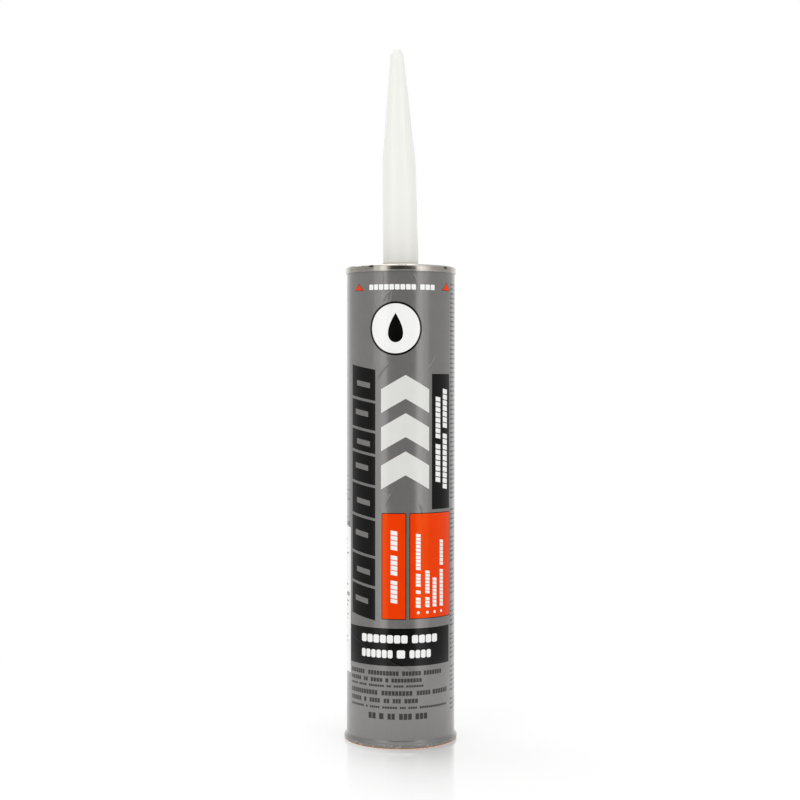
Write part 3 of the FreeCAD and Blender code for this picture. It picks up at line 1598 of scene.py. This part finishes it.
    def chevrons(self) -> None:
        """Three broad pale chevrons in the middle, pointing up the tube."""
        left, middle, right, rise, depth = -9.0, 2.15, 13.3, 6.4, 10.6
        for foot in (115.6, 132.6, 149.6):
            under = [(left, foot), (middle, foot + rise), (right, foot)]
            over = [(s, z + depth) for s, z in under[::-1]]
            self.shape(Ink.PALE, under + over)

    def front(self) -> None:
        """The printed front, from the rim down."""
        self.lined([(-24.3, 204.3), (-18.3, 204.3), (-21.3, 207.6)], 0.2)
        self.lined([(20.5, 204.5), (27.3, 204.5), (24.3, 208.1)], 0.2)
        self.words(Ink.WHITE, 204.5, 206.9, [(-15.2, 7.0), (8.6, 16.4)], 2.4, 0.25)
        self.emblem()
        self.blocks()
        self.chevrons()
        self.bar(Ink.BLACK, 14.8, 106.5, 26.85, 167.1)
        self.climbing(16.9, 19.8, [(118.2, 136.0), (137.8, 157.2)], 2.5)
        self.climbing(21.5, 24.7, [(115.0, 140.6), (142.4, 160.7)], 2.5)
        self.lined([(-8.7, 57.6), (2.5, 57.6), (2.5, 105.1), (-8.7, 105.1)])
        self.climbing(-4.5, -1.5, [(64.6, 75.4), (77.0, 86.6), (88.2, 97.6)], 2.2)
        self.lined([(3.9, 57.8), (27.2, 57.8), (27.2, 105.1), (3.9, 105.1)])
        rows = [
            (6.9, [(62.6, 67.6), (68.8, 70.8), (72.0, 78.2), (79.4, 96.0)]),
            (11.4, [(62.6, 67.6), (68.8, 79.5)]),
            (15.3, [(62.6, 76.1)]),
            (19.5, [(62.6, 79.6), (81.0, 92.9)]),
        ]
        for left, spans in rows:
            self.climbing(left, left + 2.2, spans, 1.6, 0.3)
        for bullet in (8.0, 12.5, 16.4, 20.5):
            self.round(Ink.WHITE, (bullet, 60.6), 0.65, 16)
        self.bar(Ink.BLACK, -28.2, 36.9, 26.5, 53.7)
        self.words(Ink.WHITE, 47.1, 50.7, [(-19.4, 3.3), (4.9, 18.0)], 3.1, 0.5)
        self.words(Ink.WHITE, 40.4, 44.0, [(-19.4, -3.4), (-1.9, 2.2), (3.8, 14.5)], 2.9, 0.5)
        self.small_rows()

    def small_rows(self) -> None:
        """The rows of small dark marks under the black band."""
        for low, size, letter, *ends in SMALL_ROWS:
            spans = list(zip(ends[::2], ends[1::2]))
            self.words(Ink.SMALL_PRINT, low, low + size, spans, letter)

    def sides(self) -> None:
        """The small print round the sides and the white panel on the left."""
        self.lines((-62.0, -29.6), 101.0, 121.0, 2.1, 0.75, 3)
        self.bar(Ink.WHITE, -63.0, 31.5, -28.7, 97.5)
        self.words(Ink.SMALL_PRINT, 98.2, 100.0, [(-52.0, -41.0), (-39.4, -29.9)], 1.8)
        self.lines((-61.0, -30.2), 69.5, 96.0, 2.05, 0.7, 5)
        self.words(Ink.SMALL_PRINT, 66.0, 67.8, [(-48.0, -37.4), (-35.8, -30.2)], 1.8)
        self.lines((-61.0, -30.2), 33.0, 64.0, 2.05, 0.7, 8)
        self.lines((28.0, 60.0), 110.0, 208.0, 2.1, 0.75, 11)
        self.lines((28.0, 60.0), 14.0, 106.0, 2.1, 0.75, 14)

    def drawn(self) -> list[tuple[Ink, list[Flat]]]:
        """All of the print.

        Returns:
            The ink and outline of each shape, from the lowest up.
        """
        self.front()
        self.sides()
        return self.shapes


@dataclass
class PrintedLabel:
    """The printed sheet round the board, lapped at the back, flared with the lip.

    A place on the flat sheet is its distance round from the cut edge and its height.
    """

    radius: float = LABEL_RADIUS
    thickness: float = 0.14
    foot: float = 0.55
    top: float = 214.35
    flare_out: float = 1.1
    flare_height: float = 3.15
    lip_height: float = 1.65
    lap: float = 6.0
    lap_ease: float = 2.5
    columns: int = 150
    row_height: float = 4.0

    def __post_init__(self) -> None:
        """Works out the outer face's path from its foot up, and the sheet's grid."""
        lip = self.radius + self.flare_out
        corners = [
            (lip, self.foot, 0),
            (lip, self.lip_height, 0.85),
            (self.radius, self.flare_height, 1.6),
            (self.radius, self.top, 0),
        ]
        path = rounded(corners, step=6.0)
        runs = [(a, b) for a, b in zip(path, path[1:]) if b[1] > a[1]]
        self.radii = [(height, radius) for radius, height in path]
        self.slopes = [((z0 + z1) / 2, (r1 - r0) / (z1 - z0)) for (r0, z0), (r1, z1) in runs]
        bends = [height for _, height in path[:-1]]
        straight, rise = bends[-1], self.top - bends[-1]
        count = math.ceil(rise / self.row_height)
        self.levels = bends + [straight + rise * (i + 1) / count for i in range(count)]
        self.girth = math.tau * self.radius
        self.uprights = [self.girth * i / self.columns for i in range(self.columns + 1)]
        self.start = (self.lap - self.girth) / 2

    def rise(self, around: float) -> float:
        """How far the over-lapping edge lifts the sheet, at a distance from the cut.

        Args:
            around: the distance from the cut.

        Returns:
            The lift, in millimetres.
        """
        share = (around - (self.girth - self.lap - self.lap_ease)) / self.lap_ease
        t = min(max(share, 0.0), 1.0)
        return self.thickness * t * t * (3 - 2 * t)

    def sheet(self) -> tuple[list[Flat], list[tuple[int, ...]], list[Ink]]:
        """Cuts the flat sheet into triangles along its print.

        Returns:
            The points' places on the sheet, the triangles, and each triangle's ink.
        """
        points = [Vector((s, z)) for s in self.uprights for z in self.levels]
        faces, inks = [], []
        left, right = self.start, self.start + self.girth
        foot, head = self.levels[0], self.levels[-1]
        whole = [(left, foot), (right, foot), (right, head), (left, head)]
        for ink, shape in [(Ink.SILVER, whole), *Artwork().drawn()]:
            first = len(points)
            points += self.stepped([(s - self.start, z) for s, z in shape])
            faces.append(list(range(first, len(points))))
            inks.append(ink)
        made, _, triangles, _, _, sources = delaunay_2d_cdt(points, [], faces, 1, 1e-4)
        colour = [inks[max(source)] for source in sources]
        return [tuple(p) for p in made], [tuple(t) for t in triangles], colour

    def stepped(self, outline: Sequence[Flat]) -> list[Vector]:
        """An outline with points added where it crosses the uprights, so that it bends.

        Args:
            outline: the outline's corners.

        Returns:
            The outline's points.
        """
        clear = 0.02
        points = []
        for (s0, z0), (s1, z1) in zip(outline, [*outline[1:], outline[0]]):
            points.append(Vector((s0, z0)))
            low, high = sorted((s0, s1))
            crossed = [s for s in self.uprights if low + clear < s < high - clear]
            for s in crossed if s1 > s0 else crossed[::-1]:
                points.append(Vector((s, z0 + (z1 - z0) * (s - s0) / (s1 - s0))))
        return points

    def wrap(self, around: float, height: float, lift: float) -> tuple[Vector, Vector]:
        """Puts a point of the flat sheet on the tube.

        Args:
            around: distance round from the cut edge.
            height: height above the tube's foot.
            lift: how far it stands off the sheet's outer face.

        Returns:
            The point in metres and the sheet's normal there.
        """
        angle = (around + self.start) / self.radius
        radius = between(self.radii, height, self.radius) + self.rise(around) + lift
        slope = between(self.slopes, height, 0.0)
        out = Vector((math.sin(angle), -math.cos(angle), 0.0))
        normal = (out - Vector((0.0, 0.0, slope))).normalized()
        return out * radius * MM + Vector((0.0, 0.0, height * MM)), normal

    def key(self, around: float, height: float) -> Flat:
        """A place on the sheet, rounded so that it can be looked up."""
        return round(around, 3), round(height, 3)

    def lining(self, work: bmesh.types.BMesh) -> dict[Flat, bmesh.types.BMVert]:
        """Adds the sheet's inner face, and gives its points by their place.

        Args:
            work: the mesh that is being built.

        Returns:
            The inner face's points.
        """
        points = {}
        for s in self.uprights:
            for z in self.levels:
                place, _ = self.wrap(s, z, -self.thickness)
                points[self.key(s, z)] = work.verts.new(place)
        for left, right in zip(self.uprights, self.uprights[1:]):
            for low, high in zip(self.levels, self.levels[1:]):
                corners = (left, low), (left, high), (right, high), (right, low)
                face = work.faces.new([points[self.key(*corner)] for corner in corners])
                face.material_index = Ink.BARE_EDGE.value
        return points

    def free_edges(self, triangles: Sequence[tuple[int, ...]]) -> list[tuple[int, int]]:
        """The sheet's free edges, each in the direction its triangle runs."""
        sides = dict.fromkeys(side for t in triangles for side in zip(t, t[1:] + t[:1]))
        return [(a, b) for a, b in sides if (b, a) not in sides]

    def build(self, shop: Workshop) -> None:
        """Wraps the printed sheet, closes its edges and hangs it on the cartridge.

        Args:
            shop: what makes meshes and hangs them on their bodies.
        """
        flat, triangles, inks = self.sheet()
        outer = [self.wrap(s, z, 0.0) for s, z in flat]
        mesh = bpy.data.meshes.new("label")
        with edited(mesh) as work:
            skin = [work.verts.new(place) for place, _ in outer]
            for triangle, ink in zip(triangles, inks):
                face = work.faces.new([skin[i] for i in triangle])
                face.material_index = ink.value
                face.smooth = True
            lining = self.lining(work)
            for first, second in self.free_edges(triangles):
                under = [lining[self.key(*flat[i])] for i in (first, second)]
                face = work.faces.new([skin[second], skin[first], *under])
                face.material_index = Ink.BARE_EDGE.value
        self.shade(mesh, [normal for _, normal in outer])
        for ink in self.inks():
            mesh.materials.append(ink.material())
        shop.deliver(mesh, "wrapped_label", Body.CARTRIDGE, ["printed_label"])

    def shade(self, mesh: bpy.types.Mesh, normals: Sequence[Vector]) -> None:
        """Gives the printed face the tube's own true normals.

        Args:
            mesh: the label's mesh.
            normals: the normal at each point of the printed face.
        """
        custom = [
            tuple(normals[corner] if polygon.use_smooth else polygon.normal)
            for polygon in mesh.polygons
            for corner in polygon.vertices
        ]
        mesh.normals_split_custom_set(custom)

    def inks(self) -> list[PrintedInk]:
        """The finish of each ink, in the order of Ink.

        Returns:
            The finishes.
        """
        silver = {"metallic": 0.4, "roughness": 0.21, "film": 0.35}
        return [
            PrintedInk("silver_ink", (0.219, 0.215, 0.207), **silver),
            PrintedInk("black_ink", (0.0022, 0.002, 0.002), grain=0.2, gloss=0.3),
            PrintedInk("orange_ink", (0.80, 0.037, 0.0006), sheen=(1.0, 0.7, 0.15)),
            PrintedInk("pale_ink", (0.68, 0.68, 0.655), grain=0.02),
            PrintedInk("white_ink", (0.85, 0.85, 0.84), grain=0.02),
            PrintedInk("small_print_ink", (0.02, 0.019, 0.018), grain=0.1),
            PrintedInk("sheet_edge", (0.62, 0.60, 0.56), roughness=0.6),
        ]


@dataclass
class Seal:
    """The foil seal, which keeps its solid and takes only a finish."""

    node: str = "breakaway_seal"

    def build(self) -> None:
        """Dresses the foil disc."""
        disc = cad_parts[self.node]
        disc.data.materials.clear()
        disc.data.materials.append(SealingFoil().material())
        log.info("%s: dressed", self.node)


# The studio


@dataclass
class Softbox:
    """A soft lamp that faces the tube."""

    name: str
    azimuth: float
    elevation: float
    distance: float
    width: float
    height: float
    radiance: float

    def hang(self, aim: Vector) -> None:
        """Sets the lamp up, facing a point that is given in metres.

        Args:
            aim: the point that it faces, in metres.
        """
        light = bpy.data.lights.new(self.name, "AREA")
        light.shape = "RECTANGLE"
        light.size, light.size_y = self.width, self.height
        light.energy = self.radiance * math.pi * self.width * self.height
        lamp = placed(self.name, light)
        turn, rise = math.radians(self.azimuth), math.radians(self.elevation)
        level = math.cos(rise)
        out = Vector((math.sin(turn) * level, -math.cos(turn) * level, math.sin(rise)))
        lamp.location = aim + out * self.distance
        lamp.rotation_euler = out.to_track_quat("Z", "Y").to_euler()


@dataclass
class Studio:
    """The camera, the lamps, the white surround and the floor.

    The ramp is the grey that gloss sees, from right in front of the tube (0) to right
    behind it (1). The strips and the roof over it are where parts of its direction, to
    the side, to the back or up, go from none of the light to all of it.
    """

    camera_distance: float = 714.0
    camera_height: float = 164.0
    camera_pitch: float = 0.71
    camera_side: float = -0.37
    camera_roll: float = -0.05
    lens: float = 69.84
    fill: float = 0.84
    roof: float = 0.8
    roof_up: Flat = (0.45, 0.75)
    roof_back: Flat = (0.4, -0.1)
    strip: float = 3.2
    strip_outer: Flat = (0.30, 0.18)
    strip_inner: Flat = (0.02, 0.10)
    strip_up: Flat = (0.90, 0.97)
    ramp: tuple[Flat, ...] = ((0.04, 0.06), (0.16, 0.37), (0.5, 0.43), (0.78, 0.58), (0.96, 1.0))
    floor_hole: float = 0.0256
    floor_edge: float = 4.0
    floor_sides: int = 96
    lamps_aim: float = 140.0

    def camera(self) -> None:
        """Puts the camera where the photograph was taken from."""
        data = bpy.data.cameras.new("camera")
        data.lens, data.sensor_width = self.lens, 36.0
        data.clip_start, data.clip_end = 0.01, 20.0
        camera = placed("camera", data)
        place = Vector((self.camera_side, -self.camera_distance, self.camera_height))
        camera.location = place * MM
        tilt, roll = math.radians(90 - self.camera_pitch), math.radians(self.camera_roll)
        camera.rotation_euler = (tilt, roll, 0.0)
        bpy.context.scene.camera = camera

    def surround(self) -> None:
        """A white surround to the eye, and one of greys and strips to gloss."""
        world = bpy.data.worlds.new("surround")
        bpy.context.scene.world = world
        world.use_nodes = True
        board = Board(world.node_tree)
        path = board.add("ShaderNodeLightPath").outputs
        gloss = self.gloss(board, board.add("ShaderNodeTexCoord").outputs["Generated"])
        lit = board.mix(path["Is Glossy Ray"], (self.fill,) * 3, gloss)
        seen = board.most(path["Is Camera Ray"], path["Is Transmission Ray"])
        sky = {"Color": board.mix(seen, lit, WHITE), "Strength": 1.0}
        background = board.add("ShaderNodeBackground", sky)
        board.end(background.outputs[0], "ShaderNodeOutputWorld")

    def gloss(self, board: Board, way: Socket) -> Socket:
        """What gloss sees in a direction: the ramp, and lights over the tube.

        It is white behind the tube, grey beside it and dark in front, as in a studio
        with the camera between two soft lamps. Overhead it is light, with two strips.

        Args:
            board: the world's tree.
            way: the direction, a vector one unit long.

        Returns:
            The colour.
        """
        side, depth, up = board.parts(way)
        ramp = board.add("ShaderNodeValToRGB", {0: board.times_plus(depth, 0.5, 0.5)})
        ramp.color_ramp.interpolation = "EASE"
        stops = ramp.color_ramp.elements
        low, *middle, high = [(place, (grey, grey, grey, 1.0)) for place, grey in self.ramp]
        stops[0].position, stops[0].color = low
        stops[1].position, stops[1].color = high
        for place, grey in middle:
            stops.new(place).color = grey
        off = board.size(side)
        outer, inner = board.remap(off, *self.strip_outer), board.remap(off, *self.strip_inner)
        strips = board.times(board.times(outer, inner), board.remap(up, *self.strip_up))
        over = board.times(board.remap(up, *self.roof_up), board.remap(depth, *self.roof_back))
        roofed = board.mix(over, ramp.outputs[0], (self.roof,) * 3)
        return board.mix(strips, roofed, (self.strip,) * 3)

    def floor(self) -> None:
        """A white polished floor that holds the tube's shadow and its faint reflection.

        It is open under the tube's mouth, so that the plunger can be seen in its bore.
        """
        mesh = bpy.data.meshes.new("floor")
        count = self.floor_sides
        turns = [math.tau * i / count for i in range(count)]
        radii = (self.floor_hole, self.floor_edge)
        rings = [(r * math.cos(turn), r * math.sin(turn), 0.0) for r in radii for turn in turns]
        nexts = [(i, (i + 1) % count) for i in range(count)]
        mesh.from_pydata(rings, [], [(a, a + count, b + count, b) for a, b in nexts])
        mesh.materials.append(PolishedFloor().material())
        placed("floor", mesh)

    def lamps(self) -> None:
        """Two tall soft lamps beside the camera and one above and behind."""
        middle = Vector((0.0, 0.0, self.lamps_aim * MM))
        Softbox("left_lamp", -35.5, 6.0, 0.85, 0.224, 1.3, 1.15).hang(middle)
        Softbox("left_skirt", -50.5, 6.0, 0.85, 0.224, 1.3, 0.55).hang(middle)
        Softbox("right_lamp", 39.0, 6.0, 0.85, 0.21, 1.3, 1.2).hang(middle)
        Softbox("right_skirt", 53.0, 6.0, 0.85, 0.21, 1.3, 0.6).hang(middle)
        Softbox("top_lamp", -150.0, 58.0, 1.1, 0.9, 0.9, 1.3).hang(middle)

    def build(self) -> None:
        """Sets the whole studio up."""
        self.camera()
        self.surround()
        self.floor()
        self.lamps()
        bpy.context.scene.view_settings.view_transform = "Standard"


def main() -> None:
    """Builds the pieces in order, then the studio."""
    logging.basicConfig(level=logging.INFO, format="%(name)s: %(message)s")
    shop = Workshop()
    for piece in (CartridgeTube(), PrintedLabel(), MetalEnd(), Nozzle(), Sealant(), Plunger()):
        piece.build(shop)
    Seal().build()
    Studio().build()


if __name__ == "__main__":
    main()
